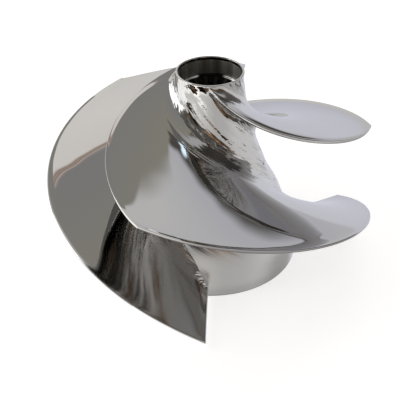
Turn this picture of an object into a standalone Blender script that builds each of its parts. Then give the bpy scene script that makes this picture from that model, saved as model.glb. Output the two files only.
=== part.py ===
"""Jet pump impeller of polished stainless steel, standing on the rear ring of its hub.

One bell-shaped hub carries three swept blades. The pump's drive shaft enters the narrow
nose at the top, and the wide rear end is hollow around a threaded boss. The origin is the
centre of the rear ring's face, and +Z runs up the shaft axis to the nose. Metres.
"""

import math

import bmesh
import bpy
import numpy as np

# Overall size
RIM_RADIUS = 0.0775
HEIGHT = 0.0958
BLADE_COUNT = 3

# Outside of the hub: a short straight band, then one cubic curve up to the nose
REAR_RADIUS = 0.0420
NOSE_RADIUS = 0.0155
BAND_HEIGHT = 0.0030
BAND_HANDLE_HEIGHT = 0.0278
NOSE_HANDLE_HEIGHT = 0.0539
REAR_CHAMFER = 0.0006

# Bore of the nose: a wide mouth, a shoulder, a splined length, then a plain relief
MOUTH_RADIUS = 0.0145
MOUTH_DEPTH = 0.0093
MOUTH_CHAMFER = 0.0004
SPLINE_TEETH = 16
SPLINE_TIP_RADIUS = 0.0102
SPLINE_ROOT_RADIUS = 0.0117
SPLINE_BOTTOM = 0.0600
SPLINE_GROOVE_SHARE = 0.42
SPLINE_FLANK_SHARE = 0.16
SPLINE_OVERCUT = 0.0003
RELIEF_RADIUS = 0.0124
RELIEF_BOTTOM = 0.0520

# Rear of the hub: a cast hollow around the boss that screws onto the pump shaft
THREAD_RADIUS = 0.0110
BOSS_RADIUS = 0.0170
BOSS_FACE_HEIGHT = 0.0080
WALL = 0.0045
HOLLOW_ROOF = 0.0500
BOSS_CHAMFER = 0.0010

# Blades: each streamline climbs from the trailing edge to the leading edge as a cubic
TRAILING_EDGE_HEIGHT = 0.0035
ROOT_EXIT_PITCH = 0.295
ROOT_INLET_PITCH = 0.100
RIM_EXIT_PITCH = 0.236
RIM_INLET_PITCH = 0.092
RIMWARD_SPACING = 1.2

# The leading edge is a cubic Bezier whose points are a radius, a wrap angle and a height
EDGE_AT_NOSE = (0.0156, math.radians(240.3), 0.0936)
EDGE_NOSE_HANDLE = (0.0198, math.radians(220.8), 0.0935)
EDGE_RIM_HANDLE = (0.0732, math.radians(145.7), 0.0589)
EDGE_AT_RIM = (RIM_RADIUS, math.radians(140.9), 0.0612)

# Thickness of a blade, measured square to its face
ROOT_THICKNESS = 0.0036
RIM_THICKNESS = 0.0015
EDGE_THICKNESS = 0.0009
EDGE_TAPER = 0.014
ROOT_FILLET = 0.0045
EDGE_FILLET = 0.0012
SEAT_GAP = 0.0003

# Fineness of the faceted solids
HUB_SEGMENTS = 72
HUB_PROFILE_STEPS = 18
HOLLOW_STEPS = 8
BLADE_STEPS = 48
LEADING_EDGE_STEPS = 200
FILLET_STEPS = 3
SPAN_STEPS = 8
SEAT_STEPS = 4


def steel():
    """Mirror-polished stainless steel."""
    material = bpy.data.materials.new("polished_stainless_steel")
    material.use_nodes = True
    shader = material.node_tree.nodes["Principled BSDF"]
    shader.inputs["Base Color"].default_value = (0.74, 0.73, 0.71, 1.0)
    shader.inputs["Metallic"].default_value = 1.0
    shader.inputs["Roughness"].default_value = 0.10
    return material


def add_object(name, mesh, material):
    """Puts a mesh into the scene under the sub-part's name, round faces shaded smooth."""
    mesh.materials.append(material)
    mesh.shade_smooth()
    mesh.set_sharp_from_angle(angle=math.radians(35))
    piece = bpy.data.objects.new(name, mesh)
    bpy.context.scene.collection.objects.link(piece)
    return piece


def bezier(start, start_handle, end_handle, end, steps):
    """Points along a cubic Bezier curve, one row for each step."""
    t = np.linspace(0.0, 1.0, steps + 1)[:, None]
    points = [np.array(point) for point in (start, start_handle, end_handle, end)]
    weights = ((1 - t) ** 3, 3 * t * (1 - t) ** 2, 3 * t**2 * (1 - t), t**3)
    return sum(weight * point for weight, point in zip(weights, points))


def hub_curve():
    """Radius and height up the hub's flank, which stands upright at its foot and at its nose."""
    return bezier(
        (REAR_RADIUS, BAND_HEIGHT),
        (REAR_RADIUS, BAND_HANDLE_HEIGHT),
        (NOSE_RADIUS, NOSE_HANDLE_HEIGHT),
        (NOSE_RADIUS, HEIGHT),
        HUB_PROFILE_STEPS,
    )


def hub_radius(height):
    """Outer radius of the hub at a height."""
    radius, level = hub_curve().T
    return np.interp(height, level, radius)


def hollow_curve():
    """The hollow's outer wall, one wall thickness inside the flank, from the rear face to its roof."""
    height = np.linspace(0.0, HOLLOW_ROOF, HOLLOW_STEPS + 1)
    return list(zip(hub_radius(height) - WALL, height))


def hub_profile():
    """The hub's cut section: up the flank, down through the bore, out round the boss and hollow."""
    flank = [tuple(point) for point in hub_curve()]
    shoulder = HEIGHT - MOUTH_DEPTH
    bore = [
        (MOUTH_RADIUS + MOUTH_CHAMFER, HEIGHT),
        (MOUTH_RADIUS, HEIGHT - MOUTH_CHAMFER),
        (MOUTH_RADIUS, shoulder),
        (SPLINE_TIP_RADIUS, shoulder),
        (SPLINE_TIP_RADIUS, SPLINE_BOTTOM),
        (RELIEF_RADIUS, SPLINE_BOTTOM),
        (RELIEF_RADIUS, RELIEF_BOTTOM),
        (THREAD_RADIUS, RELIEF_BOTTOM),
        (THREAD_RADIUS, BOSS_FACE_HEIGHT + BOSS_CHAMFER),
        (THREAD_RADIUS + BOSS_CHAMFER, BOSS_FACE_HEIGHT),
    ]
    boss = [
        (BOSS_RADIUS - BOSS_CHAMFER, BOSS_FACE_HEIGHT),
        (BOSS_RADIUS, BOSS_FACE_HEIGHT + BOSS_CHAMFER),
        (BOSS_RADIUS, HOLLOW_ROOF),
    ]
    rear_ring = [
        (REAR_RADIUS - REAR_CHAMFER, 0.0),
        (REAR_RADIUS, REAR_CHAMFER),
    ]
    return rear_ring + flank + bore + boss + hollow_curve()[::-1]


def turned_mesh(name, profile, segments):
    """Spins a closed section about the Z axis."""
    build = bmesh.new()
    ring = [build.verts.new((radius, 0.0, height)) for radius, height in profile]
    edges = [build.edges.new((a, b)) for a, b in zip(ring, ring[1:] + ring[:1])]
    bmesh.ops.spin(
        build,
        geom=ring + edges,
        cent=(0, 0, 0),
        axis=(0, 0, 1),
        angle=math.tau,
        steps=segments,
        use_merge=True,
    )
    bmesh.ops.recalc_face_normals(build, faces=build.faces)
    mesh = bpy.data.meshes.new(name)
    build.to_mesh(mesh)
    build.free()
    return mesh


def spline_cutter():
    """A toothed prism that broaches the splines: a groove, a flank, a tooth, a flank per pitch."""
    tip = SPLINE_TIP_RADIUS - SPLINE_OVERCUT
    tooth_start = SPLINE_GROOVE_SHARE + SPLINE_FLANK_SHARE
    turning_points = (
        (0.0, SPLINE_ROOT_RADIUS),
        (SPLINE_GROOVE_SHARE, SPLINE_ROOT_RADIUS),
        (tooth_start, tip),
        (1 - SPLINE_FLANK_SHARE, tip),
    )
    corners = []
    for tooth in range(SPLINE_TEETH):
        for share, radius in turning_points:
            angle = (tooth + share) * math.tau / SPLINE_TEETH
            corners.append((radius * math.cos(angle), radius * math.sin(angle)))
    low = (RELIEF_BOTTOM + SPLINE_BOTTOM) / 2
    high = HEIGHT - MOUTH_DEPTH / 2
    build = bmesh.new()
    floor = build.faces.new([build.verts.new((x, y, low)) for x, y in corners])
    raised = bmesh.ops.extrude_face_region(build, geom=[floor])["geom"]
    tops = [v for v in raised if isinstance(v, bmesh.types.BMVert)]
    bmesh.ops.translate(build, verts=tops, vec=(0, 0, high - low))
    bmesh.ops.recalc_face_normals(build, faces=build.faces)
    mesh = bpy.data.meshes.new("spline_broach")
    build.to_mesh(mesh)
    build.free()
    cutter = bpy.data.objects.new("spline_broach", mesh)
    bpy.context.scene.collection.objects.link(cutter)
    cutter.hide_render = True
    cutter.display_type = "WIRE"
    return cutter


def make_hub(material):
    """The hub: one turned and cored body, broached with splines in its nose."""
    mesh = turned_mesh("hub", hub_profile(), HUB_SEGMENTS)
    hub = add_object("hub", mesh, material)
    broach = hub.modifiers.new("splines", "BOOLEAN")
    broach.operation = "DIFFERENCE"
    broach.object = spline_cutter()


def blend(a, b, share):
    """From a to b in a straight line."""
    return a + (b - a) * share


def smooth(x):
    """0 below 0, 1 above 1, and an easy S between."""
    x = np.clip(x, 0.0, 1.0)
    return x * x * (3 - 2 * x)


def leading_edge(v):
    """Wrap angle and height of the leading edge, at v = 0 on the hub to v = 1 at the rim."""
    radius, wrap, height = bezier(
        EDGE_AT_NOSE, EDGE_NOSE_HANDLE, EDGE_RIM_HANDLE, EDGE_AT_RIM, LEADING_EDGE_STEPS
    ).T
    at = blend(radius[0], RIM_RADIUS, v)
    return np.interp(at, radius, wrap), np.interp(at, radius, height)


def streamline(u, v):
    """Wrap angle, height and climb per radian, u = 0 at the trailing to 1 at the leading edge.

    The height is a cubic in the wrap angle, with the exit and inlet pitch as its end slopes.
    """
    wrap, top = leading_edge(v)
    rise = top - TRAILING_EDGE_HEIGHT
    out_slope = blend(ROOT_EXIT_PITCH, RIM_EXIT_PITCH, v) / math.tau * wrap
    in_slope = blend(ROOT_INLET_PITCH, RIM_INLET_PITCH, v) / math.tau * wrap
    height = (
        TRAILING_EDGE_HEIGHT
        + rise * (3 * u**2 - 2 * u**3)
        + out_slope * (u - 2 * u**2 + u**3)
        + in_slope * (u**3 - u**2)
    )
    climb = (
        rise * (6 * u - 6 * u**2)
        + out_slope * (1 - 4 * u + 3 * u**2)
        + in_slope * (3 * u**2 - 2 * u)
    ) / wrap
    return u * wrap, height, climb


def blade_sheets():
    """Corner points of a blade's upper and lower face, rows from trailing to leading edge."""
    u = np.linspace(0.0, 1.0, BLADE_STEPS + 1)[:, None]
    root_wrap, root_height, _ = streamline(u, 0.0)
    span = RIM_RADIUS - hub_radius(root_height)

    # The face leaves the hub in a quarter circle and then runs straight out to the rim
    from_edge = np.minimum(u, 1 - u) * root_wrap[-1] * hub_radius(root_height)
    easing = smooth(from_edge / EDGE_TAPER)
    fillet = blend(EDGE_FILLET, ROOT_FILLET, easing)
    turn = np.linspace(0.0, math.pi / 2, FILLET_STEPS + 1)[None, :]
    flare = fillet * (1 - np.sin(turn))
    reach = fillet * (1 - np.cos(turn))
    outward = np.linspace(0.0, 1.0, SPAN_STEPS + 1)[None, 1:] ** RIMWARD_SPACING
    reach = np.hstack([reach, fillet + (span - fillet) * outward])
    flare = np.hstack([flare, np.zeros((len(u), SPAN_STEPS))])

    v = reach / span
    wrap, height, climb = streamline(u, v)
    radius = blend(hub_radius(height), RIM_RADIUS, v)
    steepness = np.sqrt(1 + (climb / radius) ** 2)
    from_edge = np.minimum(u, 1 - u) * leading_edge(v)[0] * radius
    easing = smooth(from_edge / EDGE_TAPER)
    thickness = blend(EDGE_THICKNESS, blend(ROOT_THICKNESS, RIM_THICKNESS, v), easing)
    half = thickness / 2 * steepness + flare

    sheets = []
    for level in (height + half, height - half):
        sheets.append(on_streamlines(wrap, level, v))

    # Between the faces the root follows the hub's flank
    share = np.linspace(0.0, 1.0, SEAT_STEPS + 1)[None, 1:-1]
    level = blend((height + half)[:, :1], (height - half)[:, :1], share)
    seat = on_streamlines(wrap[:, :1] + 0 * level, level, 0 * level)
    return sheets[0], seat, sheets[1]


def on_streamlines(wrap, level, v):
    """Points at a wrap angle and height, v = 0 just clear of the hub to v = 1 at the rim."""
    r = blend(hub_radius(level) + SEAT_GAP, RIM_RADIUS, v)
    return np.stack([-r * np.sin(wrap), -r * np.cos(wrap), level], axis=-1)


def blade_mesh():
    """Closes a blade: each row is a loop over the upper face, down the root, out the lower."""
    upper, seat, lower = blade_sheets()
    loops = np.concatenate([upper[:, ::-1], seat, lower], axis=1)
    rows, count = loops.shape[:2]
    columns = upper.shape[1]
    build = bmesh.new()
    grid = [[build.verts.new(point) for point in row] for row in loops]
    for here, there in zip(grid, grid[1:]):
        for j in range(count):
            build.faces.new((here[j], there[j], there[j - 1], here[j - 1]))
    for row in (grid[0], grid[-1]):
        for j in range(columns - 1):
            build.faces.new((row[j], row[j + 1], row[count - 2 - j], row[count - 1 - j]))
        build.faces.new(row[columns - 1 : count - columns + 1])
    bmesh.ops.recalc_face_normals(build, faces=build.faces)
    mesh = bpy.data.meshes.new("blade")
    build.to_mesh(mesh)
    build.free()
    return mesh


def make_blades(material):
    """Three like blades, a third of a turn apart; the first trails off towards -Y."""
    for number in range(BLADE_COUNT):
        blade = add_object(f"blade_{number + 1}", blade_mesh(), material)
        blade.rotation_euler = (0, 0, number * math.tau / BLADE_COUNT)


def main():
    for old in list(bpy.data.objects):
        bpy.data.objects.remove(old)
    material = steel()
    make_hub(material)
    make_blades(material)


main()
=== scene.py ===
"""The jet pump impeller, dressed: a hand-polished stainless steel casting on a pale floor."""

import bpy
import math
import numpy as np
from mathutils import Matrix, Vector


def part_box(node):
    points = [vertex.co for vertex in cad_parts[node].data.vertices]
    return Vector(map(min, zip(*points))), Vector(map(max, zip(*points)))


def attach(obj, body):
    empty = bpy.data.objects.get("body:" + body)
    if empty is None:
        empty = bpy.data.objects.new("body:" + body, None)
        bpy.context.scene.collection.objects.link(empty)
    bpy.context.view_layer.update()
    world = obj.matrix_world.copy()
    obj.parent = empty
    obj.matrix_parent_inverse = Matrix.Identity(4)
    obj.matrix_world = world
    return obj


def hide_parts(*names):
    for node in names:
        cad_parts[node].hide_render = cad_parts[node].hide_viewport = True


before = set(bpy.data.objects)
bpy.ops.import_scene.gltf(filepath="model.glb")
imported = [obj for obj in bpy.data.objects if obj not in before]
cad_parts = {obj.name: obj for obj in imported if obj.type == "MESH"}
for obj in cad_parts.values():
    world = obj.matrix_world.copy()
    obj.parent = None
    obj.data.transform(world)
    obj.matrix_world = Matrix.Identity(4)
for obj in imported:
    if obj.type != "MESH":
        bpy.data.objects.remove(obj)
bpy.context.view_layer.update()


# The hub. One bell-shaped casting of stainless steel, bored, splined and threaded for the
# pump's shaft, and cored out at the rear. Its outside is ground and polished by hand, its
# bores are turned, and its hollow is left as it was cast.

_, hub_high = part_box("hub")
HUB_HEIGHT = hub_high[2]
HUB_REAR_RADIUS = hub_high[0]
NOSE_RADIUS = 0.0155
BAND_HEIGHT = 0.0030
BAND_HANDLE_HEIGHT = 0.0278
NOSE_HANDLE_HEIGHT = 0.0539
FLANK_STEPS = 90
NECK_HOLLOW_HEIGHT = 0.0085
NECK_HOLLOW_DEPTH = 0.0003
GROUND_FLAT_HEIGHT = 0.040
GROUND_FLAT_HALF_LENGTH = 0.013
GROUND_FLAT_DEPTH = 0.00050
REAR_FACE_START = 0.0400
REAR_EDGE_ROUNDING = 0.0005

MOUTH_RADIUS = 0.0145
MOUTH_DEPTH = 0.0093
LIP_ROUNDING = 0.0004
LIP_HEIGHT = 0.0006
SHOULDER_ROUNDING = 0.0006
SHOULDER_CORNER = 0.0007
SPLINE_TEETH = 16
SPLINE_TIP_RADIUS = 0.0102
SPLINE_GROOVE_DEPTH = 0.0015
SPLINE_TIP_SHARE = 0.42
SPLINE_SIDE_SHARE = 0.16
SPLINE_BOTTOM = 0.0600
RELIEF_RADIUS = 0.0124
RELIEF_BOTTOM = 0.0520
RELIEF_ROUNDING = 0.0004
THREAD_RADIUS = 0.0110
THREAD_PITCH = 0.0020
THREAD_DEPTH = 0.0009
THREAD_TOP = 0.0260
THREAD_LEAD_IN = 0.0010
BOSS_RADIUS = 0.0170
BOSS_FACE_HEIGHT = 0.0080
BOSS_EDGE_ROUNDING = 0.0008
BOSS_ROOT_ROUNDING = 0.0030
HUB_WALL = 0.0045
HOLLOW_ROOF = 0.0500
HUB_COLUMNS = 320
SHARP_ANGLE = math.radians(40)


def bezier(start, start_handle, end_handle, end, steps):
    """Points on a cubic Bezier curve: each weight is a product of t and 1 - t, cubed in all."""
    t = np.linspace(0.0, 1.0, steps + 1)[:, None]
    weights = ((1 - t) ** 3, 3 * t * (1 - t) ** 2, 3 * t**2 * (1 - t), t**3)
    points = (start, start_handle, end_handle, end)
    return sum(weight * np.array(point) for weight, point in zip(weights, points))


def hub_flank(steps):
    """Radius and height up the flank, a Bezier curve upright at its foot and at its nose."""
    return bezier(
        (HUB_REAR_RADIUS, BAND_HEIGHT),
        (HUB_REAR_RADIUS, BAND_HANDLE_HEIGHT),
        (NOSE_RADIUS, NOSE_HANDLE_HEIGHT),
        (NOSE_RADIUS, HUB_HEIGHT),
        steps,
    )


def hub_radius(height):
    """Radius of the flank at a height, read off a very fine run of the same curve."""
    radius, level = hub_flank(4000).T
    return np.interp(height, level, radius)


def straight(start, end, spacing):
    """Evenly spaced points from start, left out, to end."""
    steps = max(1, math.ceil(np.linalg.norm(end - start) / spacing))
    t = np.linspace(0.0, 1.0, steps + 1)[1:, None]
    return start + (end - start) * t


def run(corners, spacing):
    """An outline through corners, each a radius, a height and a rounding.

    A corner is rounded by a quadratic curve that leaves both sides one rounding away from
    it. A straight stretch gets a point at least every spacing, so that it shades flat.
    """
    corners = np.array(corners)
    places = corners[:, :2]
    points = [places[:1]]
    for before, here, after, rounding in zip(places, places[1:], places[2:], corners[1:, 2]):
        inward = before - here
        outward = after - here
        start = here + inward / np.linalg.norm(inward) * rounding
        end = here + outward / np.linalg.norm(outward) * rounding
        points.append(straight(points[-1][-1], start, spacing))
        t = np.linspace(0.0, 1.0, 5)[1:, None]
        points.append((1 - t) ** 2 * start + 2 * t * (1 - t) * here + t**2 * end)
    points.append(straight(points[-1][-1], places[-1], spacing))
    return np.concatenate(points)


def surface(name, points, materials, finish):
    """A piece whose grid of points closes on itself both ways; finish picks each row's material."""
    rows, columns = points.shape[:2]
    i, j = np.meshgrid(np.arange(rows), np.arange(columns), indexing="ij")
    corners = [(i, j), (i, j + 1), (i + 1, j + 1), (i + 1, j)]
    quads = np.stack([(a % rows) * columns + b % columns for a, b in corners], axis=-1)
    mesh = bpy.data.meshes.new(name)
    mesh.from_pydata(points.reshape(-1, 3), [], quads.reshape(-1, 4))
    for material in materials:
        mesh.materials.append(material)
    mesh.polygons.foreach_set("material_index", np.repeat(finish, columns).astype(np.int32))
    mesh.shade_smooth()
    mesh.set_sharp_from_angle(angle=SHARP_ANGLE)
    piece = bpy.data.objects.new(name, mesh)
    bpy.context.scene.collection.objects.link(piece)
    return piece


def linear(hex_colour):
    """An sRGB hex colour as linear red, green, blue and alpha."""
    channels = [int(hex_colour[i : i + 2], 16) / 255 for i in (1, 3, 5)]
    return (*[c / 12.92 if c <= 0.04045 else ((c + 0.055) / 1.055) ** 2.4 for c in channels], 1.0)


def add_node(material, kind, inputs=None, **settings):
    """Adds one node, sets its settings and inputs, and links an input given as a socket.

    An input goes by its name or number. Where several share a name, the enabled one is meant.
    The setting stops gives a colour ramp its places and hex colours.
    """
    tree = material.node_tree
    node = tree.nodes.new(kind)
    stops = settings.pop("stops", [])
    for name, value in settings.items():
        setattr(node, name, value)
    for end in (0, -1) if stops else ():
        element = node.color_ramp.elements[end]
        element.position = stops[end][0]
        element.color = linear(stops[end][1])
    for place, colour in stops[1:-1]:
        node.color_ramp.elements.new(place).color = linear(colour)
    for name, value in (inputs or {}).items():
        named = [socket for socket in node.inputs if socket.name == name and socket.enabled]
        socket = named[0] if named else node.inputs[name]
        if isinstance(value, bpy.types.NodeSocket):
            tree.links.new(value, socket)
        else:
            socket.default_value = value
    return node


def metal(name, colour, roughness):
    """A bare metal: metallic 1, the default IOR, its own colour and roughness, and its shader."""
    material = bpy.data.materials.new(name)
    material.use_nodes = True
    shader = material.node_tree.nodes["Principled BSDF"]
    shader.inputs["Base Color"].default_value = linear(colour)
    shader.inputs["Metallic"].default_value = 1.0
    shader.inputs["Roughness"].default_value = roughness
    return material, shader


# Stainless steel ground by hand with a flap wheel run along the blade roots, then buffed:
# a bright skin with long shallow dents, nicks and pits that follow the roots and a fine
# mottle, all strongest up the neck, and smoother but duller on the rear band. The twist is
# in radians a metre. The pits take the 4D noise, so that they don't lie where the dents do.
ROOT_TWIST = 44.0
ROOT_STRETCH = 0.16
DENT_WIDTH = 0.0085
DENT_DEPTH = 0.0016
NICK_WIDTH = 0.0030
NICK_DEPTH = 0.00035
PIT_WIDTH = 0.0032
PIT_DEPTH = 0.0008
MOTTLE_SIZE = 0.0014
MOTTLE_DEPTH = 0.00006
WORKED_PATCH = 0.016
ground_steel, shader = metal("hand_ground_stainless_steel", "#cccbca", 0.12)
here = add_node(ground_steel, "ShaderNodeTexCoord").outputs["Object"]
height = add_node(ground_steel, "ShaderNodeSeparateXYZ", {"Vector": here}).outputs["Z"]
twist = add_node(ground_steel, "ShaderNodeMath", {0: height, 1: ROOT_TWIST}, operation="MULTIPLY").outputs[0]
along_roots = add_node(
    ground_steel,
    "ShaderNodeVectorRotate",
    {"Vector": here, "Angle": twist},
    rotation_type="Z_AXIS",
).outputs["Vector"]
along_roots = add_node(
    ground_steel,
    "ShaderNodeVectorMath",
    {0: along_roots, 1: (1.0, 1.0, ROOT_STRETCH)},
    operation="MULTIPLY",
).outputs["Vector"]
dents = add_node(
    ground_steel,
    "ShaderNodeTexNoise",
    {"Vector": along_roots, "Scale": 1 / DENT_WIDTH, "Detail": 1.0, "Distortion": 0.6},
).outputs["Fac"]
nicks = add_node(
    ground_steel,
    "ShaderNodeTexNoise",
    {"Vector": along_roots, "Scale": 1 / NICK_WIDTH, "Detail": 1.5},
).outputs["Fac"]
on_neck = add_node(
    ground_steel,
    "ShaderNodeMapRange",
    {"Value": height, "From Min": 0.020, "From Max": 0.040},
    interpolation_type="SMOOTHSTEP",
).outputs[0]
worked = add_node(
    ground_steel,
    "ShaderNodeTexNoise",
    {"Vector": along_roots, "Scale": 1 / WORKED_PATCH, "Detail": 1.0},
).outputs["Fac"]
worked = add_node(
    ground_steel,
    "ShaderNodeMapRange",
    {"Value": worked, "From Min": 0.42, "From Max": 0.60, "To Min": 0.45},
    interpolation_type="SMOOTHSTEP",
).outputs[0]
dent_strength = add_node(
    ground_steel, "ShaderNodeMapRange", {"Value": on_neck, "To Min": 0.06, "To Max": worked}
).outputs[0]
dented = add_node(
    ground_steel, "ShaderNodeBump", {"Strength": dent_strength, "Distance": DENT_DEPTH, "Height": dents}
).outputs["Normal"]
nicked = add_node(
    ground_steel,
    "ShaderNodeBump",
    {"Strength": dent_strength, "Distance": NICK_DEPTH, "Height": nicks, "Normal": dented},
).outputs["Normal"]
pits = add_node(
    ground_steel,
    "ShaderNodeTexNoise",
    {"Vector": along_roots, "Scale": 1 / PIT_WIDTH, "Detail": 1.0, "Distortion": 0.4},
    noise_dimensions="4D",
).outputs["Fac"]
pits = add_node(
    ground_steel,
    "ShaderNodeMapRange",
    {"Value": pits, "From Min": 0.66, "From Max": 0.72},
    interpolation_type="SMOOTHSTEP",
).outputs[0]
pitted = add_node(
    ground_steel,
    "ShaderNodeBump",
    {"Strength": on_neck, "Distance": PIT_DEPTH, "Height": pits, "Normal": nicked},
    invert=True,
).outputs["Normal"]
mottle = add_node(
    ground_steel, "ShaderNodeTexNoise", {"Vector": here, "Scale": 1 / MOTTLE_SIZE, "Detail": 1.0}
).outputs["Fac"]
mottled = add_node(
    ground_steel,
    "ShaderNodeBump",
    {"Strength": on_neck, "Distance": MOTTLE_DEPTH, "Height": mottle, "Normal": pitted},
).outputs["Normal"]
ground_steel.node_tree.links.new(mottled, shader.inputs["Normal"])
dullness = add_node(
    ground_steel, "ShaderNodeMapRange", {"Value": on_neck, "To Min": 0.20, "To Max": 0.06}
).outputs[0]
ground_steel.node_tree.links.new(dullness, shader.inputs["Roughness"])

# Stainless steel buffed to a mirror: cloudy here and there, with faint arcs from the buff
# and a slow waviness that softens every reflected edge. The mirror is duller in the roots,
# at the edges and low down towards the outlet. The grinding wheel left marks along the
# roots and nicks in their corners, fainter near the nose. The buff's lines and the wheel's
# marks are really finer than this, and are drawn as coarse as they need to show.
CLOUD_SIZE = 0.016
BUFF_LINE_PITCH = 0.0008
BUFF_LINE_STRETCH = 0.05
WAVE_LENGTH = 0.020
WAVE_DEPTH = 0.00016
ROOT_HAZE = 0.10
EDGE_HAZE = 0.10
OUTLET_HAZE = 0.05
WHEEL_MARK_PITCH = 0.0020
WHEEL_MARK_DEPTH = 0.00022
WHEEL_MARK_STRETCH = 0.07
ROOT_NICK_WIDTH = 0.0026
ROOT_NICK_DEPTH = 0.0011
ROOT_NICK_STRETCH = 0.3
polished_steel, shader = metal("mirror_buffed_stainless_steel", "#cccbca", 0.06)
here = add_node(polished_steel, "ShaderNodeTexCoord").outputs["Object"]
flat = add_node(
    polished_steel, "ShaderNodeVectorMath", {0: here, 1: (1.0, 1.0, 0.0)}, operation="MULTIPLY"
).outputs["Vector"]
radius = add_node(polished_steel, "ShaderNodeVectorMath", {0: flat}, operation="LENGTH").outputs["Value"]
height = add_node(polished_steel, "ShaderNodeSeparateXYZ", {"Vector": here}).outputs["Z"]
arcs = add_node(polished_steel, "ShaderNodeCombineXYZ", {"X": radius, "Y": height}).outputs["Vector"]
arcs = add_node(
    polished_steel,
    "ShaderNodeVectorMath",
    {0: arcs, 1: (1.0, BUFF_LINE_STRETCH, 0.0)},
    operation="MULTIPLY",
).outputs["Vector"]
buff_lines = add_node(
    polished_steel, "ShaderNodeTexNoise", {"Vector": arcs, "Scale": 1 / BUFF_LINE_PITCH, "Detail": 2.0}
).outputs["Fac"]
waves = add_node(
    polished_steel, "ShaderNodeTexNoise", {"Vector": here, "Scale": 1 / WAVE_LENGTH, "Detail": 1.0}
).outputs["Fac"]
clouds = add_node(
    polished_steel, "ShaderNodeTexNoise", {"Vector": here, "Scale": 1 / CLOUD_SIZE, "Detail": 4.0}
).outputs["Fac"]
haze = add_node(
    polished_steel,
    "ShaderNodeMapRange",
    {"Value": clouds, "From Min": 0.35, "From Max": 0.70, "To Min": 0.015, "To Max": 0.045},
).outputs[0]
line_haze = add_node(
    polished_steel,
    "ShaderNodeMapRange",
    {"Value": buff_lines, "From Min": 0.45, "From Max": 0.75, "To Max": 0.015},
).outputs[0]
haze = add_node(polished_steel, "ShaderNodeMath", {0: haze, 1: line_haze}).outputs[0]
from_root = add_node(polished_steel, "ShaderNodeAttribute", attribute_name="from_root").outputs["Fac"]
by_root = add_node(
    polished_steel,
    "ShaderNodeMapRange",
    {"Value": from_root, "From Min": 0.014, "From Max": 0.006, "To Max": ROOT_HAZE},
    interpolation_type="SMOOTHSTEP",
).outputs[0]
haze = add_node(polished_steel, "ShaderNodeMath", {0: haze, 1: by_root}).outputs[0]
from_edge = add_node(polished_steel, "ShaderNodeAttribute", attribute_name="from_edge").outputs["Fac"]
at_edge = add_node(
    polished_steel,
    "ShaderNodeMapRange",
    {"Value": from_edge, "From Min": 0.0007, "From Max": 0.0003, "To Max": EDGE_HAZE},
).outputs[0]
haze = add_node(polished_steel, "ShaderNodeMath", {0: haze, 1: at_edge}).outputs[0]
low_down = add_node(
    polished_steel,
    "ShaderNodeMapRange",
    {"Value": height, "From Min": 0.040, "From Max": 0.028, "To Max": OUTLET_HAZE},
    interpolation_type="SMOOTHSTEP",
).outputs[0]
haze = add_node(polished_steel, "ShaderNodeMath", {0: haze, 1: low_down}).outputs[0]
polished_steel.node_tree.links.new(haze, shader.inputs["Roughness"])
wavy = add_node(polished_steel, "ShaderNodeBump", {"Distance": WAVE_DEPTH, "Height": waves}).outputs["Normal"]
beside_root = add_node(
    polished_steel, "ShaderNodeCombineXYZ", {"X": from_root, "Y": height}
).outputs["Vector"]
beside_root = add_node(
    polished_steel,
    "ShaderNodeVectorMath",
    {0: beside_root, 1: (1.0, WHEEL_MARK_STRETCH, 0.0)},
    operation="MULTIPLY",
).outputs["Vector"]
wheel_marks = add_node(
    polished_steel,
    "ShaderNodeTexNoise",
    {"Vector": beside_root, "Scale": 1 / WHEEL_MARK_PITCH, "Detail": 1.0},
).outputs["Fac"]
marked = add_node(
    polished_steel,
    "ShaderNodeMapRange",
    {"Value": from_root, "From Min": 0.0125, "From Max": 0.0070},
    interpolation_type="SMOOTHSTEP",
).outputs[0]
lined = add_node(
    polished_steel,
    "ShaderNodeBump",
    {"Strength": marked, "Distance": WHEEL_MARK_DEPTH, "Height": wheel_marks, "Normal": wavy},
).outputs["Normal"]
twist = add_node(
    polished_steel, "ShaderNodeMath", {0: height, 1: ROOT_TWIST}, operation="MULTIPLY"
).outputs[0]
along_roots = add_node(
    polished_steel,
    "ShaderNodeVectorRotate",
    {"Vector": here, "Angle": twist},
    rotation_type="Z_AXIS",
).outputs["Vector"]
along_roots = add_node(
    polished_steel,
    "ShaderNodeVectorMath",
    {0: along_roots, 1: (1.0, 1.0, ROOT_NICK_STRETCH)},
    operation="MULTIPLY",
).outputs["Vector"]
nicks = add_node(
    polished_steel,
    "ShaderNodeTexNoise",
    {"Vector": along_roots, "Scale": 1 / ROOT_NICK_WIDTH, "Detail": 1.5},
).outputs["Fac"]
in_corner = add_node(
    polished_steel,
    "ShaderNodeMapRange",
    {"Value": from_root, "From Min": 0.0035, "From Max": 0.0018},
    interpolation_type="SMOOTHSTEP",
).outputs[0]
up_the_neck = add_node(
    polished_steel,
    "ShaderNodeMapRange",
    {"Value": height, "From Min": 0.068, "From Max": 0.084, "To Min": 1.0, "To Max": 0.30},
).outputs[0]
in_corner = add_node(
    polished_steel, "ShaderNodeMath", {0: in_corner, 1: up_the_neck}, operation="MULTIPLY"
).outputs[0]
nicked = add_node(
    polished_steel,
    "ShaderNodeBump",
    {"Strength": in_corner, "Distance": ROOT_NICK_DEPTH, "Height": nicks, "Normal": lined},
).outputs["Normal"]
polished_steel.node_tree.links.new(nicked, shader.inputs["Normal"])

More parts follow.
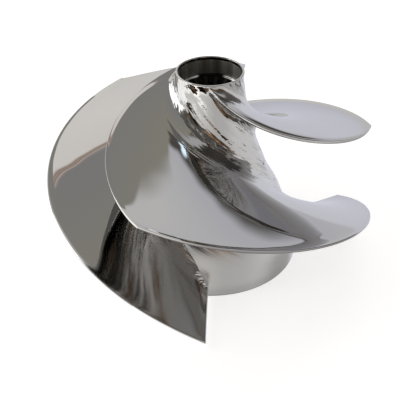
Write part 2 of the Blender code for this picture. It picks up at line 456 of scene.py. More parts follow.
# Steel as the lathe and the broach left it: fine rings and dull. Its near-black tone is partly
# a film of dark oil and partly painted shade for the depths of the bores and the hollow where
# it lies, blacker where the oil lies thick. The rings are drawn coarser than real ones, to show.
TOOL_MARK_PITCH = 0.0006
TOOL_MARK_DEPTH = 0.000004
OIL_PATCHES_PER_METRE = 180.0
turned_steel, shader = metal("oiled_turned_steel_painted_shade", "#2b2a27", 0.32)
here = add_node(turned_steel, "ShaderNodeTexCoord").outputs["Object"]
height = add_node(turned_steel, "ShaderNodeSeparateXYZ", {"Vector": here}).outputs["Z"]
rings = add_node(
    turned_steel,
    "ShaderNodeMath",
    {0: height, 1: math.tau / TOOL_MARK_PITCH},
    operation="MULTIPLY",
).outputs[0]
rings = add_node(turned_steel, "ShaderNodeMath", {0: rings}, operation="SINE").outputs[0]
marked = add_node(
    turned_steel, "ShaderNodeBump", {"Distance": TOOL_MARK_DEPTH, "Height": rings}
).outputs["Normal"]
turned_steel.node_tree.links.new(marked, shader.inputs["Normal"])
oil = add_node(
    turned_steel,
    "ShaderNodeTexNoise",
    {"Vector": here, "Scale": OIL_PATCHES_PER_METRE, "Detail": 4.0},
).outputs["Fac"]
# Painted shade: these near-black tones stand for the shade deep in the bores and the hollow
tone = add_node(
    turned_steel,
    "ShaderNodeValToRGB",
    {"Fac": oil},
    stops=[(0.30, "#121211"), (0.75, "#2b2a27")],
).outputs["Color"]
turned_steel.node_tree.links.new(tone, shader.inputs["Base Color"])

# Steel bored to size with a fine feed: satin, with the faintest rings, and lighter and darker
# streaks down the bore, painted bands of reflected light. The shoulder below is painted darker
# between its two sides, a painted shade that leaves both sides bright as painted glints.
FEED_MARK_DEPTH = 0.000003
PAINTED_BAND_WIDTH = 0.006
SHADED_HALF_WIDTH = 0.0066
SHADE_FADE = 0.0014
SHOULDER_TOP = 0.0875
SHOULDER_FADE = 0.0005
bored_steel, shader = metal("fine_bored_stainless_steel", "#cccac7", 0.36)
here = add_node(bored_steel, "ShaderNodeTexCoord").outputs["Object"]
at = add_node(bored_steel, "ShaderNodeSeparateXYZ", {"Vector": here}).outputs
feed = add_node(bored_steel, "ShaderNodeCombineXYZ", {"Z": at["Z"]}).outputs["Vector"]
rings = add_node(
    bored_steel, "ShaderNodeTexNoise", {"Vector": feed, "Scale": 1 / TOOL_MARK_PITCH, "Detail": 1.0}
).outputs["Fac"]
marked = add_node(
    bored_steel, "ShaderNodeBump", {"Distance": FEED_MARK_DEPTH, "Height": rings}
).outputs["Normal"]
bored_steel.node_tree.links.new(marked, shader.inputs["Normal"])
# Painted bands of reflected light: a tone that changes round the bore but not along it
painted_bands = add_node(bored_steel, "ShaderNodeCombineXYZ", {"X": at["X"], "Y": at["Y"]}).outputs["Vector"]
painted_bands = add_node(
    bored_steel, "ShaderNodeTexNoise", {"Vector": painted_bands, "Scale": 1 / PAINTED_BAND_WIDTH, "Detail": 2.0}
).outputs["Fac"]
tone = add_node(
    bored_steel,
    "ShaderNodeValToRGB",
    {"Fac": painted_bands},
    stops=[(0.36, "#84837e"), (0.60, "#fbfaf6")],
).outputs["Color"]
on_shoulder = add_node(
    bored_steel,
    "ShaderNodeMapRange",
    {"Value": at["Z"], "From Min": SHOULDER_TOP, "From Max": SHOULDER_TOP - SHOULDER_FADE},
).outputs[0]
dullness = add_node(
    bored_steel, "ShaderNodeMapRange", {"Value": on_shoulder, "To Min": 0.46, "To Max": 0.20}
).outputs[0]
bored_steel.node_tree.links.new(dullness, shader.inputs["Roughness"])
# Painted shade on the shoulder between its two sides, in the dark tone below; the bright sides left over are
# painted glints
aside = add_node(bored_steel, "ShaderNodeMath", {0: at["X"]}, operation="ABSOLUTE").outputs[0]
shoulder_shade = add_node(
    bored_steel,
    "ShaderNodeMapRange",
    {"Value": aside, "From Min": SHADED_HALF_WIDTH, "From Max": SHADED_HALF_WIDTH - SHADE_FADE},
).outputs[0]
shoulder_shade = add_node(bored_steel, "ShaderNodeMath", {0: shoulder_shade, 1: on_shoulder}, operation="MULTIPLY").outputs[0]
tone = add_node(
    bored_steel,
    "ShaderNodeMix",
    {"Factor": shoulder_shade, "A": tone, "B": linear("#23221f")},
    data_type="RGBA",
).outputs[2]
bored_steel.node_tree.links.new(tone, shader.inputs["Base Color"])

# Steel as it left the mould, cleaned with shot: dull, with a fine pebbled skin, and a
# little darker in patches
SHOT_MARK = 0.0009
SHOT_MARK_DEPTH = 0.00012
CAST_PATCHES_PER_METRE = 90.0
cast_steel, shader = metal("shot_blasted_cast_steel", "#8f8d8a", 0.5)
here = add_node(cast_steel, "ShaderNodeTexCoord").outputs["Object"]
shot = add_node(
    cast_steel, "ShaderNodeTexNoise", {"Vector": here, "Scale": 1 / SHOT_MARK, "Detail": 3.0}
).outputs["Fac"]
pebbled = add_node(
    cast_steel, "ShaderNodeBump", {"Distance": SHOT_MARK_DEPTH, "Height": shot}
).outputs["Normal"]
cast_steel.node_tree.links.new(pebbled, shader.inputs["Normal"])
patches = add_node(
    cast_steel,
    "ShaderNodeTexNoise",
    {"Vector": here, "Scale": CAST_PATCHES_PER_METRE, "Detail": 5.0},
).outputs["Fac"]
tone = add_node(
    cast_steel,
    "ShaderNodeValToRGB",
    {"Fac": patches},
    stops=[(0.30, "#75726c"), (0.70, "#a09e9a")],
).outputs["Color"]
cast_steel.node_tree.links.new(tone, shader.inputs["Base Color"])

FINISHES = [ground_steel, turned_steel, cast_steel, bored_steel]
GROUND, TURNED, AS_CAST, BORED = range(len(FINISHES))


def hub_outline():
    """The points of the hub's section, from rear to nose and down inside, and each row's finish.

    Under the lip the flank is hollowed by one full wave of a cosine. Half way up, where it
    was ground flatter, a sine wave dies away at both ends as a cosine.
    """
    shoulder = HUB_HEIGHT - MOUTH_DEPTH
    foot = run(
        [
            (REAR_FACE_START, 0.0, 0),
            (HUB_REAR_RADIUS, 0.0, REAR_EDGE_ROUNDING),
            (HUB_REAR_RADIUS, BAND_HEIGHT, 0),
        ],
        spacing=0.0005,
    )
    flank = hub_flank(FLANK_STEPS)[1:-1]
    below_lip = np.clip((HUB_HEIGHT - flank[:, 1]) / NECK_HOLLOW_HEIGHT, 0.0, 1.0)
    flank[:, 0] -= NECK_HOLLOW_DEPTH * (1 - np.cos(math.tau * below_lip)) / 2
    along_flat = np.clip((flank[:, 1] - GROUND_FLAT_HEIGHT) / GROUND_FLAT_HALF_LENGTH, -1.0, 1.0)
    flank[:, 0] -= GROUND_FLAT_DEPTH * np.sin(math.pi * along_flat) * np.cos(math.pi / 2 * along_flat)
    lip = run(
        [
            (NOSE_RADIUS, HUB_HEIGHT - LIP_HEIGHT, 0),
            (NOSE_RADIUS, HUB_HEIGHT, LIP_ROUNDING),
            (MOUTH_RADIUS, HUB_HEIGHT, LIP_ROUNDING),
            (MOUTH_RADIUS, HUB_HEIGHT - LIP_HEIGHT, 0),
        ],
        spacing=0.0003,
    )
    mouth = run(
        [
            (MOUTH_RADIUS, HUB_HEIGHT - LIP_HEIGHT, 0),
            (MOUTH_RADIUS, shoulder, SHOULDER_ROUNDING),
            (MOUTH_RADIUS - SHOULDER_CORNER, shoulder, 0),
        ],
        spacing=0.001,
    )[1:]
    step_end = np.array([SPLINE_TIP_RADIUS + 2 * SPLINE_GROOVE_DEPTH, shoulder])
    step = straight(mouth[-1], step_end, spacing=0.0005)
    spline_top = np.array([SPLINE_TIP_RADIUS, shoulder + 0.0002])
    splines = straight(spline_top, np.array([SPLINE_TIP_RADIUS, SPLINE_BOTTOM]), spacing=0.003)
    relief = run(
        [
            (RELIEF_RADIUS, SPLINE_BOTTOM, 0),
            (RELIEF_RADIUS, RELIEF_BOTTOM, RELIEF_ROUNDING),
            (THREAD_RADIUS, RELIEF_BOTTOM, RELIEF_ROUNDING),
            (THREAD_RADIUS, THREAD_TOP, 0),
        ],
        spacing=0.004,
    )
    thread_end = np.array([THREAD_RADIUS, BOSS_FACE_HEIGHT + THREAD_LEAD_IN])
    thread = straight(relief[-1], thread_end, spacing=THREAD_PITCH / 8)
    boss = run(
        [
            (*thread_end, 0),
            (THREAD_RADIUS + THREAD_LEAD_IN, BOSS_FACE_HEIGHT, 0.0002),
            (BOSS_RADIUS, BOSS_FACE_HEIGHT, BOSS_EDGE_ROUNDING),
            (BOSS_RADIUS, HOLLOW_ROOF, BOSS_ROOT_ROUNDING),
            (hub_radius(HOLLOW_ROOF) - HUB_WALL, HOLLOW_ROOF, 0),
        ],
        spacing=0.003,
    )
    height = np.linspace(HOLLOW_ROOF, 0.0, 24)[1:]
    hollow = np.stack([hub_radius(height) - HUB_WALL, height], axis=-1)
    parts = [
        (foot, GROUND),
        (flank, GROUND),
        (lip, GROUND),
        (mouth, BORED),
        (step[:-1], BORED),
        (step[-1:], TURNED),
        (splines, TURNED),
        (relief, TURNED),
        (thread[:-1], TURNED),
        (boss, TURNED),
        (hollow, AS_CAST),
    ]
    outline = np.concatenate([part for part, _ in parts])
    finish = np.concatenate([np.full(len(part), kind) for part, kind in parts])
    return outline, finish


def hub_points(outline):
    """Turns the section about Z. Radius gains a trapezoid wave in the splines, a helix in the thread."""
    radius, height = outline.T[:, :, None]
    turn = np.linspace(0.0, 1.0, HUB_COLUMNS, endpoint=False)[None, :]
    tooth = np.abs((turn * SPLINE_TEETH) % 1.0 - 0.5) * 2
    groove = np.clip((tooth - SPLINE_TIP_SHARE) / SPLINE_SIDE_SHARE, 0.0, 1.0) * SPLINE_GROOVE_DEPTH
    radius = radius + np.where(np.isclose(radius, SPLINE_TIP_RADIUS), groove, 0.0)
    ridge = np.abs((height / THREAD_PITCH - turn) % 1.0 - 0.5) * 2
    threaded = np.isclose(radius, THREAD_RADIUS) & (height < THREAD_TOP)
    radius = radius + np.where(threaded, ridge * THREAD_DEPTH, 0.0)
    angle = turn * math.tau
    return np.stack([radius * np.cos(angle), radius * np.sin(angle), height + 0 * angle], axis=-1)


outline, finish = hub_outline()
hub = surface("polished_hub", hub_points(outline), FINISHES, finish)
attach(hub, "root")
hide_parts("hub")


# The blades. Three like blades, cast in one with the hub: each winds round it like a
# screw that steepens towards the outlet, thins to its edges, and meets the hub in a
# ground fillet. The rim is turned to the pump's bore, the edges are rounded by hand.

RIM_RADIUS = 0.07745
TRAILING_EDGE_HEIGHT = 0.0035
ROOT_EXIT_PITCH = 0.295
ROOT_INLET_PITCH = 0.100
RIM_EXIT_PITCH = 0.236
RIM_INLET_PITCH = 0.092
EDGE_AT_NOSE = (0.0156, math.radians(240.3), 0.0936)
EDGE_NOSE_HANDLE = (0.0198, math.radians(220.8), 0.0935)
EDGE_RIM_HANDLE = (0.0732, math.radians(145.7), 0.0589)
EDGE_AT_RIM = (RIM_RADIUS, math.radians(140.9), 0.0612)
ROOT_THICKNESS = 0.0036
RIM_THICKNESS = 0.0013
EDGE_THICKNESS = 0.0015
EDGE_ROUNDING = 0.0005
EDGE_POWER = 3
EDGE_START = 0.02
EDGE_TAPER = 0.0040
EDGE_TAPER_AT_ROOT = 0.008
ROOT_SHARE = 0.3
EDGE_FILLET = 0.0012
NEAR_FILLET = 0.0052
NEAR_FILLET_TAPER = 0.007
ROOT_FILLET = 0.0080
ROOT_FILLET_TAPER = 0.024
ROOT_SINK = 0.0005
RIM_CHAMFER = 0.00030
BLADE_ROWS = 320
EVEN_SHARE_OF_ROWS = 0.15
BLADE_SPAN_COLUMNS = 60
SPAN_CROWDING = 1.1
FILLET_COLUMNS = 14
BLADE_COUNT = 3


def leading_edge(v):
    """Wrap angle and height of the leading edge, read off its Bezier curve at a share of the span."""
    radius, wrap, height = bezier(EDGE_AT_NOSE, EDGE_NOSE_HANDLE, EDGE_RIM_HANDLE, EDGE_AT_RIM, 4000).T
    at = radius[0] + (RIM_RADIUS - radius[0]) * v
    return np.interp(at, radius, wrap), np.interp(at, radius, height)


def streamline(u, v):
    """Wrap angle, height and climb on a streamline, whose height is a cubic in the wrap angle.

    The cubic runs from the trailing edge, u = 0, to the leading edge, u = 1, and has the exit
    and the inlet pitch as the slopes of its ends. v is the share of the span from the hub.
    """
    wrap, top = leading_edge(v)
    rise = top - TRAILING_EDGE_HEIGHT
    out_slope = (ROOT_EXIT_PITCH + (RIM_EXIT_PITCH - ROOT_EXIT_PITCH) * v) / math.tau * wrap
    in_slope = (ROOT_INLET_PITCH + (RIM_INLET_PITCH - ROOT_INLET_PITCH) * v) / math.tau * wrap
    height = TRAILING_EDGE_HEIGHT + rise * (3 * u**2 - 2 * u**3)
    height = height + out_slope * (u - 2 * u**2 + u**3) + in_slope * (u**3 - u**2)
    climb = rise * (6 * u - 6 * u**2) + out_slope * (1 - 4 * u + 3 * u**2)
    climb = (climb + in_slope * (3 * u**2 - 2 * u)) / wrap
    return u * wrap, height, climb


def ease(x):
    """0 below 0, 1 above 1, and the cubic S between them."""
    x = np.clip(x, 0.0, 1.0)
    return x * x * (3 - 2 * x)


def rows_along_blade():
    """Shares of the way along the blade, crowded at both edges: even steps warped by a cosine."""
    t = np.linspace(0.0, 1.0, BLADE_ROWS)
    crowded = (1 - np.cos(math.pi * t)) / 2
    return (EVEN_SHARE_OF_ROWS * t + (1 - EVEN_SHARE_OF_ROWS) * crowded)[:, None]


def blade_points():
    """A grid of points, and the distance of each from the root and from the nearest edge.

    A row is a loop: in over the upper face, through the hub and out under the lower one.
    Each face leaves the hub in a quarter circle, which flares the two apart, and runs straight
    out to the rim. Over the taper the thickness goes from the body's to the edge's by the
    cubic S, and at the very edge it shrinks as a quarter of a superellipse, to a narrow flat.
    It is measured upright, so it grows by the secant of the blade's slope.
    """
    u = rows_along_blade()
    root_wrap, root_height, _ = streamline(u, 0.0)
    root_radius = hub_radius(root_height)
    span = RIM_RADIUS - root_radius
    from_edge = np.minimum(u, 1 - u) * root_wrap[-1] * root_radius
    fillet = EDGE_FILLET + (NEAR_FILLET - EDGE_FILLET) * ease(from_edge / NEAR_FILLET_TAPER)
    fillet = fillet + (ROOT_FILLET - NEAR_FILLET) * ease((from_edge - NEAR_FILLET_TAPER) / ROOT_FILLET_TAPER)
    turn = np.linspace(0.0, math.pi / 2, FILLET_COLUMNS)[None, :]
    outward = np.linspace(0.0, 1.0, BLADE_SPAN_COLUMNS)[None, 1:-1] ** SPAN_CROWDING
    reach = np.hstack([
        0 * span - ROOT_SINK,
        fillet * (1 - np.cos(turn)),
        fillet + (span - RIM_CHAMFER - fillet) * outward,
        span - RIM_CHAMFER,
        span,
    ])
    flare = np.hstack([fillet, fillet * (1 - np.sin(turn)), np.zeros((len(u), BLADE_SPAN_COLUMNS))])
    trim = np.zeros_like(reach)
    trim[:, -1] = RIM_CHAMFER

    v = reach / span
    wrap, height, climb = streamline(u, np.clip(v, 0.0, 1.0))
    radius = hub_radius(height) + (RIM_RADIUS - hub_radius(height)) * v
    steepness = np.sqrt(1 + (climb / radius) ** 2)
    from_edge = np.minimum(u, 1 - u) * leading_edge(np.clip(v, 0, 1))[0] * radius
    body = ROOT_THICKNESS + (RIM_THICKNESS - ROOT_THICKNESS) * np.clip(v, 0, 1)
    taper = EDGE_TAPER_AT_ROOT + (EDGE_TAPER - EDGE_TAPER_AT_ROOT) * ease(v / ROOT_SHARE)
    thickness = EDGE_THICKNESS + (body - EDGE_THICKNESS) * ease(from_edge / taper)
    inward = np.clip(from_edge / EDGE_ROUNDING, EDGE_START, 1)
    rounding = (1 - (1 - inward) ** EDGE_POWER) ** (1 / EDGE_POWER)
    half = (thickness / 2 - trim) * rounding * steepness + flare

    faces = []
    for level in (height + half, height - half):
        at = hub_radius(level)
        radius = at + (RIM_RADIUS - at) * v
        faces.append(np.stack([-radius * np.sin(wrap), -radius * np.cos(wrap), level], axis=-1))
    from_edge = np.minimum(from_edge, span - reach)
    loops = [np.concatenate([half_loop[:, ::-1], half_loop], axis=1) for half_loop in (reach, from_edge)]
    return np.concatenate([faces[0][:, ::-1], faces[1]], axis=1), loops[0], loops[1]


def blade_mesh(name, points, from_root, from_edge):
    """Joins the loops with quads, closes the two end loops with strips, and keeps the distances."""
    rows, count = points.shape[:2]
    i, j = np.meshgrid(np.arange(rows - 1), np.arange(count), indexing="ij")
    sides = np.stack(
        [i * count + j, (i + 1) * count + j, (i + 1) * count + (j + 1) % count, i * count + (j + 1) % count],
        axis=-1,
    ).reshape(-1, 4)
    j = np.arange(count // 2 - 1)
    strip = np.stack([j, j + 1, count - 2 - j, count - 1 - j], axis=-1)
    last = (rows - 1) * count
    mesh = bpy.data.meshes.new(name)
    mesh.from_pydata(points.reshape(-1, 3), [], np.concatenate([sides, strip, last + strip[:, ::-1]]))
    mesh.materials.append(polished_steel)
    for distance, metres in (("from_root", from_root), ("from_edge", from_edge)):
        values = mesh.attributes.new(distance, "FLOAT", "POINT").data
        values.foreach_set("value", metres.ravel().astype(np.float32))
    mesh.shade_smooth()
    mesh.set_sharp_from_angle(angle=SHARP_ANGLE)
    return mesh


def turned(points, angle):
    """The same points turned about Z."""
    c, s = math.cos(angle), math.sin(angle)
    return points @ np.array([[c, s, 0], [-s, c, 0], [0, 0, 1]])


first_blade, from_root, from_edge = blade_points()
for number in range(BLADE_COUNT):
    node_name = f"blade_{number + 1}"
    points = turned(first_blade, number * math.tau / BLADE_COUNT)
    blade = bpy.data.objects.new(f"polished_{node_name}", blade_mesh(node_name, points, from_root, from_edge))
    bpy.context.scene.collection.objects.link(blade)
    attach(blade, "root")
    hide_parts(node_name)


# The floor. A plain white table top that runs into the white backdrop: matt paper, lit from
# below as well, so that it stays white and only a pale shade shows on it. The steel mirrors
# the table that the light holds, told by direction, in place of this one.

FLOOR_HALF = 3.0
LIT_FROM_BELOW = 0.7
white_paper = bpy.data.materials.new("white_paper")
white_paper.use_nodes = True
shader = white_paper.node_tree.nodes["Principled BSDF"]
shader.inputs["Base Color"].default_value = linear("#f4f4f4")
shader.inputs["Emission Color"].default_value = (1, 1, 1, 1)
shader.inputs["Emission Strength"].default_value = LIT_FROM_BELOW

floor_mesh = bpy.data.meshes.new("floor")
corners = [(x * FLOOR_HALF, y * FLOOR_HALF, 0) for x, y in ((-1, -1), (1, -1), (1, 1), (-1, 1))]
floor_mesh.from_pydata(corners, [], [(0, 1, 2, 3)])
floor_mesh.materials.append(white_paper)
floor = bpy.data.objects.new("floor", floor_mesh)
bpy.context.scene.collection.objects.link(floor)
floor.visible_glossy = False


# The light. A plain studio, told by direction because the polished steel shows all of it: a
# white backdrop, a grey ceiling, a large soft box at the left, a pale reflector and a window
# at the right, the table, and an unlit room in front. The camera itself sees plain white.

# Colours by direction, in degrees round from the front (0) past the right (90) to the back.
# Close by, the table is brighter under the soft box and darker in the object's own shade.
WALLS_AROUND = [
    (-180, "#e0dfdd"),
    (-150, "#f8f5f1"),
    (-118, "#f2efeb"),
    (-110, "#8e8b88"),
    (-55, "#aaa5a0"),
    (-38, "#7a716a"),
    (-14, "#6a625b"),
    (25, "#6a625b"),
    (60, "#5f5954"),
    (95, "#6c6865"),
    (128, "#5f5c59"),
    (150, "#575451"),
    (154, "#cdced5"),
    (180, "#dddcdc"),
]
TABLE_AROUND = [
    (-180, "#d2d3de"),
    (-140, "#dedddb"),
    (-50, "#efeeea"),
    (-14, "#eae8e5"),
    (16, "#cfcecc"),
    (45, "#d3d2d1"),
    (75, "#e8e7e6"),
    (110, "#ebeaea"),
    (150, "#ebecf3"),
    (165, "#e0e1eb"),
    (175, "#d2d3de"),
    (180, "#d2d3de"),
]
SHADE_AROUND = [
    (-180, "#ffffff"),
    (60, "#ffffff"),
    (95, "#cccbca"),
    (128, "#cccbca"),
    (145, "#ffffff"),
    (180, "#ffffff"),
]
POOL_AROUND = [
    (-180, "#000000"),
    (-160, "#f4f2ee"),
    (-30, "#f4f2ee"),
    (-6, "#000000"),
    (180, "#000000"),
]

# From here on a place sideways, in front or up is the X, -Y or Z of a direction of length 1.
# High up the walls lean round, and the table's far edge dips at the right. Straight down the
# steel sees the table grey, in the object's own shade.
WALL_LEAN = math.radians(21)
FAR_TABLE_RISE = 0.03

world = bpy.data.worlds.new("studio")
bpy.context.scene.world = world
world.use_nodes = True
direction = add_node(world, "ShaderNodeTexCoord").outputs["Generated"]
toward = add_node(world, "ShaderNodeSeparateXYZ", {"Vector": direction}).outputs
front = add_node(world, "ShaderNodeMath", {0: toward["Y"], 1: -1.0}, operation="MULTIPLY").outputs[0]
azimuth = add_node(world, "ShaderNodeMath", {0: toward["X"], 1: front}, operation="ARCTAN2").outputs[0]
leaning = add_node(
    world,
    "ShaderNodeMapRange",
    {"Value": toward["Z"], "From Min": 0.45, "From Max": 0.88},
).outputs[0]
leaning = add_node(world, "ShaderNodeMath", {0: leaning, 1: 2.0}, operation="POWER").outputs[0]
leaning = add_node(world, "ShaderNodeMath", {0: leaning, 1: WALL_LEAN}, operation="MULTIPLY").outputs[0]
leant = add_node(world, "ShaderNodeMath", {0: azimuth, 1: leaning}).outputs[0]
turn = add_node(
    world,
    "ShaderNodeMapRange",
    {"Value": leant, "From Min": -math.pi, "From Max": math.pi},
).outputs[0]
walls, table, shade, pool = (
    add_node(
        world,
        "ShaderNodeValToRGB",
        {"Fac": turn},
        stops=[((degrees + 180) / 360, colour) for degrees, colour in around],
    ).outputs["Color"]
    for around in (WALLS_AROUND, TABLE_AROUND, SHADE_AROUND, POOL_AROUND)
)
rise = add_node(
    world,
    "ShaderNodeMapRange",
    {"Value": toward["X"], "From Min": 0.60, "From Max": 0.35, "To Max": FAR_TABLE_RISE},
).outputs[0]
level = add_node(world, "ShaderNodeMath", {0: toward["Z"], 1: rise}, operation="SUBTRACT").outputs[0]
below = add_node(
    world,
    "ShaderNodeMapRange",
    {"Value": level, "From Min": 0.07, "From Max": 0.01},
    interpolation_type="SMOOTHSTEP",
).outputs[0]
near_table = add_node(
    world,
    "ShaderNodeMapRange",
    {"Value": toward["Z"], "From Min": -0.22, "From Max": -0.40},
).outputs[0]
table = add_node(
    world,
    "ShaderNodeMix",
    {"Factor": near_table, "A": table, "B": pool},
    data_type="RGBA",
    blend_type="ADD",
).outputs[2]
table = add_node(
    world,
    "ShaderNodeMix",
    {"Factor": near_table, "A": table, "B": shade},
    data_type="RGBA",
    blend_type="MULTIPLY",
).outputs[2]
room = add_node(
    world,
    "ShaderNodeMix",
    {"Factor": below, "A": walls, "B": table},
    data_type="RGBA",
).outputs[2]
underneath = add_node(
    world,
    "ShaderNodeMapRange",
    {"Value": toward["Z"], "From Min": -0.52, "From Max": -0.92},
).outputs[0]
room = add_node(
    world,
    "ShaderNodeMix",
    {"Factor": underneath, "A": room, "B": linear("#8e8b89")},
    data_type="RGBA",
).outputs[2]

# Black and brown things stand in the unlit room in front, with a dark grey wall above them
THINGS_ACROSS = 2.6
things = add_node(
    world,
    "ShaderNodeTexNoise",
    {"Vector": direction, "Scale": THINGS_ACROSS, "Detail": 3.0},
).outputs["Fac"]
things = add_node(
    world,
    "ShaderNodeValToRGB",
    {"Fac": things},
    stops=[
        (0.0, "#0d0b0a"),
        (0.48, "#16120f"),
        (0.54, "#6a4f39"),
        (0.60, "#a08365"),
        (1.0, "#c6ae93"),
    ],
).outputs["Color"]
raised = add_node(
    world,
    "ShaderNodeMapRange",
    {"Value": toward["Z"], "From Min": 0.30, "From Max": 0.45},
    interpolation_type="SMOOTHSTEP",
).outputs[0]
things = add_node(
    world,
    "ShaderNodeMix",
    {"Factor": raised, "A": things, "B": linear("#5a5955")},
    data_type="RGBA",
).outputs[2]
in_front = add_node(
    world,
    "ShaderNodeMapRange",
    {"Value": front, "From Min": 0.25, "From Max": 0.60},
).outputs[0]
not_below = add_node(world, "ShaderNodeMath", {0: 1.0, 1: below}, operation="SUBTRACT").outputs[0]
in_front = add_node(world, "ShaderNodeMath", {0: in_front, 1: not_below}, operation="MULTIPLY").outputs[0]
room = add_node(
    world,
    "ShaderNodeMix",
    {"Factor": in_front, "A": room, "B": things},
    data_type="RGBA",
).outputs[2]

# Above a level edge, seen as a plane through the object, the backdrop ends and the ceiling
# begins. Nearly overhead the ceiling bulges out over the backdrop, and far to the left its
# edge droops a little. The edge is sharp at the left and soft at the right, where the
# ceiling also starts higher up.
BACKDROP_TOP = math.radians(67)
BACKDROP_TURN = math.radians(10)
BULGE = 0.22
BULGE_MIDDLE = -0.095
BULGE_HALF_WIDTH = 0.165
DROOP = 0.035
LOWEST_CEILING = 0.76
LOWEST_CEILING_AT_RIGHT = 0.96
edge_plane = (
    -math.sin(BACKDROP_TOP) * math.sin(BACKDROP_TURN),
    -math.sin(BACKDROP_TOP) * math.cos(BACKDROP_TURN),
    math.cos(BACKDROP_TOP),
)
over_edge = add_node(
    world,
    "ShaderNodeVectorMath",
    {0: direction, 1: edge_plane},
    operation="DOT_PRODUCT",
).outputs["Value"]
from_middle = add_node(
    world, "ShaderNodeMath", {0: toward["X"], 1: BULGE_MIDDLE}, operation="SUBTRACT"
).outputs[0]
from_middle = add_node(world, "ShaderNodeMath", {0: from_middle}, operation="ABSOLUTE").outputs[0]
bulge = add_node(
    world,
    "ShaderNodeMapRange",
    {
        "Value": from_middle,
        "From Min": BULGE_HALF_WIDTH,
        "From Max": BULGE_HALF_WIDTH - 0.05,
        "To Max": BULGE,
    },
    interpolation_type="SMOOTHSTEP",
).outputs[0]
nearly_overhead = add_node(
    world,
    "ShaderNodeMapRange",
    {"Value": toward["Z"], "From Min": 0.82, "From Max": 0.86},
).outputs[0]
bulge = add_node(world, "ShaderNodeMath", {0: bulge, 1: nearly_overhead}, operation="MULTIPLY").outputs[0]
droop = add_node(
    world,
    "ShaderNodeMapRange",
    {"Value": toward["X"], "From Min": -0.20, "From Max": -0.45, "To Max": DROOP},
).outputs[0]
lower = add_node(world, "ShaderNodeMath", {0: bulge, 1: droop}).outputs[0]
over_edge = add_node(world, "ShaderNodeMath", {0: over_edge, 1: lower}).outputs[0]
edge_end = add_node(
    world,
    "ShaderNodeMapRange",
    {"Value": toward["X"], "From Min": -0.12, "From Max": 0.03, "To Min": 0.010, "To Max": 0.06},
).outputs[0]
edge_start = add_node(
    world,
    "ShaderNodeMapRange",
    {"Value": toward["X"], "From Min": -0.12, "From Max": 0.03, "To Min": -0.012, "To Max": -0.05},
).outputs[0]
past_edge = add_node(
    world,
    "ShaderNodeMapRange",
    {"Value": over_edge, "From Min": edge_start, "From Max": edge_end},
    interpolation_type="SMOOTHSTEP",
).outputs[0]
lowest = add_node(
    world,
    "ShaderNodeMapRange",
    {
        "Value": toward["X"],
        "From Min": 0.20,
        "From Max": 0.30,
        "To Min": LOWEST_CEILING,
        "To Max": LOWEST_CEILING_AT_RIGHT,
    },
).outputs[0]
height_over = add_node(world, "ShaderNodeMath", {0: toward["Z"], 1: lowest}, operation="SUBTRACT").outputs[0]
high = add_node(
    world,
    "ShaderNodeMapRange",
    {"Value": height_over, "From Min": -0.05, "From Max": 0.05},
    interpolation_type="SMOOTHSTEP",
).outputs[0]
overhead = add_node(world, "ShaderNodeMath", {0: past_edge, 1: high}, operation="MULTIPLY").outputs[0]
to_the_right = add_node(
    world,
    "ShaderNodeMapRange",
    {"Value": toward["X"], "From Min": -0.35, "From Max": 0.25},
).outputs[0]
ceiling = add_node(
    world,
    "ShaderNodeMix",
    {"Factor": to_the_right, "A": linear("#959493"), "B": linear("#9c998e")},
    data_type="RGBA",
).outputs[2]
room = add_node(
    world,
    "ShaderNodeMix",
    {"Factor": overhead, "A": room, "B": ceiling},
    data_type="RGBA",
).outputs[2]

# The rail that carries the backdrop shows at the left as a thin brown line, doubled, in a
# pale warm band. The stops are distances from its middle.
off_edge = add_node(world, "ShaderNodeMath", {0: over_edge}, operation="ABSOLUTE").outputs[0]
rail = add_node(
    world,
    "ShaderNodeValToRGB",
    {"Fac": off_edge},
    stops=[
        (0.0, "#c9b7ac"),
        (0.003, "#c9b7ac"),
        (0.006, "#8a7568"),
        (0.009, "#8a7568"),
        (0.016, "#cdbfb7"),
        (0.05, "#cdbfb7"),
    ],
).outputs["Color"]
near_edge = add_node(
    world,
    "ShaderNodeMapRange",
    {"Value": off_edge, "From Min": 0.035, "From Max": 0.018},
).outputs[0]
at_left = add_node(
    world,
    "ShaderNodeMapRange",
    {"Value": toward["X"], "From Min": -0.02, "From Max": -0.12},
).outputs[0]
on_rail = add_node(world, "ShaderNodeMath", {0: near_edge, 1: at_left}, operation="MULTIPLY").outputs[0]
behind = add_node(world, "ShaderNodeMath", {0: toward["Y"], 1: 0.1}, operation="GREATER_THAN").outputs[0]
on_rail = add_node(world, "ShaderNodeMath", {0: on_rail, 1: behind}, operation="MULTIPLY").outputs[0]
room = add_node(
    world,
    "ShaderNodeMix",
    {"Factor": on_rail, "A": room, "B": rail},
    data_type="RGBA",
).outputs[2]

# The soft box, an even white rectangle that falls off over its frame
SOFT_BOX_MIDDLE = math.radians(-82)
SOFT_BOX_HALF_WIDTH = math.radians(20)
SOFT_BOX_HEIGHT = 0.40
SOFT_BOX_HALF_HEIGHT = 0.32
SOFT_BOX_LIGHT = 2.2
beside = add_node(world, "ShaderNodeMath", {0: azimuth, 1: SOFT_BOX_MIDDLE}, operation="SUBTRACT").outputs[0]
beside = add_node(world, "ShaderNodeMath", {0: beside}, operation="ABSOLUTE").outputs[0]
across = add_node(
    world,
    "ShaderNodeMapRange",
    {"Value": beside, "From Min": SOFT_BOX_HALF_WIDTH, "From Max": SOFT_BOX_HALF_WIDTH - 0.06},
    interpolation_type="SMOOTHSTEP",
).outputs[0]
from_height = add_node(
    world, "ShaderNodeMath", {0: toward["Z"], 1: SOFT_BOX_HEIGHT}, operation="SUBTRACT"
).outputs[0]
from_height = add_node(world, "ShaderNodeMath", {0: from_height}, operation="ABSOLUTE").outputs[0]
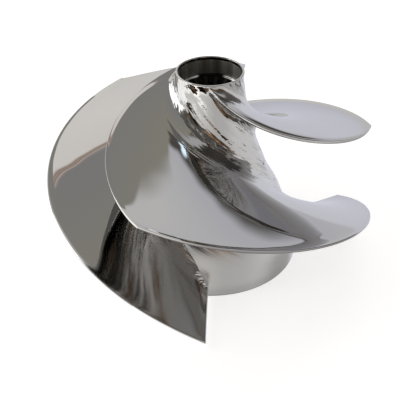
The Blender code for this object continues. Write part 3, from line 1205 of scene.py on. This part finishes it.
upright = add_node(
    world,
    "ShaderNodeMapRange",
    {
        "Value": from_height,
        "From Min": SOFT_BOX_HALF_HEIGHT,
        "From Max": SOFT_BOX_HALF_HEIGHT - 0.04,
    },
    interpolation_type="SMOOTHSTEP",
).outputs[0]
in_box = add_node(world, "ShaderNodeMath", {0: across, 1: upright}, operation="MULTIPLY").outputs[0]
room = add_node(
    world,
    "ShaderNodeMix",
    {"Factor": in_box, "A": room, "B": (SOFT_BOX_LIGHT, SOFT_BOX_LIGHT, SOFT_BOX_LIGHT, 1.0)},
    data_type="RGBA",
).outputs[2]

# A pale round reflector, high at the right: the cosines give its rim and its even middle
REFLECTOR = (0.551, -0.097, 0.829)
on_reflector = add_node(
    world,
    "ShaderNodeVectorMath",
    {0: direction, 1: REFLECTOR},
    operation="DOT_PRODUCT",
).outputs["Value"]
on_reflector = add_node(
    world,
    "ShaderNodeMapRange",
    {"Value": on_reflector, "From Min": 0.93, "From Max": 0.985},
    interpolation_type="SMOOTHSTEP",
).outputs[0]
room = add_node(
    world,
    "ShaderNodeMix",
    {"Factor": on_reflector, "A": room, "B": linear("#bfbebf")},
    data_type="RGBA",
).outputs[2]

# A small window of bluish daylight, high at the right
WINDOW = (0.452, 0.329, 0.829)
DAYLIGHT = (1.25, 1.55, 1.75, 1.0)
in_window = add_node(
    world,
    "ShaderNodeVectorMath",
    {0: direction, 1: WINDOW},
    operation="DOT_PRODUCT",
).outputs["Value"]
in_window = add_node(
    world,
    "ShaderNodeMapRange",
    {"Value": in_window, "From Min": 0.9972, "From Max": 0.9992},
    interpolation_type="SMOOTHSTEP",
).outputs[0]
room = add_node(
    world,
    "ShaderNodeMix",
    {"Factor": in_window, "A": room, "B": DAYLIGHT},
    data_type="RGBA",
).outputs[2]

# The camera sees white behind the object
seen = add_node(world, "ShaderNodeLightPath").outputs["Is Camera Ray"]
room = add_node(
    world,
    "ShaderNodeMix",
    {"Factor": seen, "A": room, "B": (1.0, 1.0, 1.0, 1.0)},
    data_type="RGBA",
).outputs[2]
world.node_tree.links.new(room, world.node_tree.nodes["Background"].inputs["Color"])
bpy.context.scene.view_settings.view_transform = "Standard"


# The camera. It looks down on the front from a little over 0.4 m, as in the photograph. It
# stands a little to the right, and is rolled by about half a degree.

CAMERA_DISTANCE = 0.4411
CAMERA_ELEVATION = math.radians(34.06)
CAMERA_AZIMUTH = math.radians(2.41)
CAMERA_ROLL = math.radians(0.635)
AIM_SIDEWAYS = -0.0051
AIM_HEIGHT = 0.0260
LENS_MM = 81.05
SENSOR_WIDTH_MM = 36.0

camera = bpy.data.objects.new("camera", bpy.data.cameras.new("camera"))
camera.data.lens = LENS_MM
camera.data.sensor_width = SENSOR_WIDTH_MM
camera.data.clip_start = 0.01
standing = Matrix.Rotation(CAMERA_AZIMUTH, 4, "Z") @ Matrix.Translation((AIM_SIDEWAYS, 0, AIM_HEIGHT))
tilted = Matrix.Rotation(math.pi / 2 - CAMERA_ELEVATION, 4, "X") @ Matrix.Translation((0, 0, CAMERA_DISTANCE))
camera.matrix_world = standing @ tilted @ Matrix.Rotation(-CAMERA_ROLL, 4, "Z")
bpy.context.scene.collection.objects.link(camera)
bpy.context.scene.camera = camera
